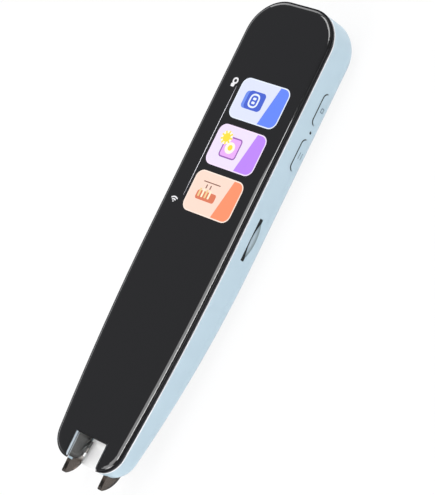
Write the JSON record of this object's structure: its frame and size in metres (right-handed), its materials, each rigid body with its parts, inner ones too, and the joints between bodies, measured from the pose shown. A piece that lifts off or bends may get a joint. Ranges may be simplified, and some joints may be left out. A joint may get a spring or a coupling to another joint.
{
  "type": "handheld scanning translator",
  "caption": "Pen-shaped translator with a notched scanning nose, a full-length glass front, two side buttons, a card slot and a charging inlet.",
  "frame": {"origin": "middle of the overall box, on the plane that the flat back rests on", "axes": "+Z out of the glass front, +Y from the scanning nose towards the head, +X towards the side with the buttons"},
  "size_m": [0.032, 0.146, 0.0134],
  "materials": {
    "housing_plastic": "satin",
    "frame_plastic": "gloss",
    "cover_glass": "polished",
    "trim_plastic": "gloss",
    "smoked_plastic": "gloss",
    "clear_plastic": "polished",
    "white_plastic": "matte",
    "black_plastic": "matte",
    "clear_glass": "polished",
    "panel_glass": "polished",
    "circuit_board": "solder mask",
    "chip_package": "moulded",
    "led_resin": "gloss",
    "spring_steel": "bright",
    "tinned_steel": "satin",
    "screw_steel": "satin",
    "inlet_steel": "satin",
    "mesh_steel": "woven",
    "ceramic": "matte",
    "connector_plastic": "matte",
    "flex_film": "satin",
    "foil_pouch": "satin",
    "wire_insulation": "matte",
    "black_tape": "matte",
    "soft_rubber": "matte",
    "contact_brass": "satin"
  },
  "bodies": {
    "housing": {"rear_housing": "housing_plastic", "mid_frame": "frame_plastic", "cover_glass": "cover_glass", "notch_trim": "trim_plastic", "glass_adhesive": "black_tape", "channel_floor": "white_plastic", "camera_cradle": "black_plastic", "lens_barrel": "black_plastic", "front_lens": "clear_glass", "sensor_board": "circuit_board", "image_sensor": "chip_package", "led_board": "circuit_board", "scan_leds": "led_resin", "tip_switch": "black_plastic", "tip_return_spring": "spring_steel", "touch_sensor": "clear_glass", "lcd_panel": "panel_glass", "backlight": "white_plastic", "display_connector": "connector_plastic", "display_flex": "flex_film", "main_board": "circuit_board", "processor": "chip_package", "memory_chip": "chip_package", "power_chip": "chip_package", "radio_shield": "tinned_steel", "capacitors": "ceramic", "camera_connector": "connector_plastic", "camera_flex": "flex_film", "board_screws": "screw_steel", "camera_screws": "screw_steel", "battery_tape": "black_tape", "battery_cell": "foil_pouch", "battery_board": "circuit_board", "battery_connector": "connector_plastic", "battery_leads": "wire_insulation", "button_board": "circuit_board", "button_switches": "tinned_steel", "microphone": "tinned_steel", "microphone_boot": "soft_rubber", "button_flex": "flex_film", "usb_shell": "inlet_steel", "usb_tongue": "black_plastic", "card_socket": "tinned_steel", "speaker": "black_plastic", "speaker_gasket": "soft_rubber", "speaker_mesh": "mesh_steel", "speaker_contacts": "contact_brass", "radio_antenna": "contact_brass"},
    "power_button": {"power_button": "housing_plastic", "power_plunger": "white_plastic"},
    "select_button": {"select_button": "housing_plastic", "select_plunger": "white_plastic"},
    "nose_insert": {"nose_insert": "smoked_plastic", "camera_window": "clear_plastic", "tip_switch_plunger": "white_plastic"}
  },
  "joints": [
    {"name": "power_press", "type": "slide", "parent": "housing", "child": "power_button", "axis": [-1, 0, 0], "range_m": [0, 0.00035], "stiffness_N_per_m": 1500, "springref_m": -0.0004},
    {"name": "select_press", "type": "slide", "parent": "housing", "child": "select_button", "axis": [-1, 0, 0], "range_m": [0, 0.00035], "stiffness_N_per_m": 1500, "springref_m": -0.0004},
    {"name": "tip_press", "type": "slide", "parent": "housing", "child": "nose_insert", "axis": [0, 1, 0], "range_m": [0, 0.0008], "stiffness_N_per_m": 700, "springref_m": -0.0008}
  ]
}
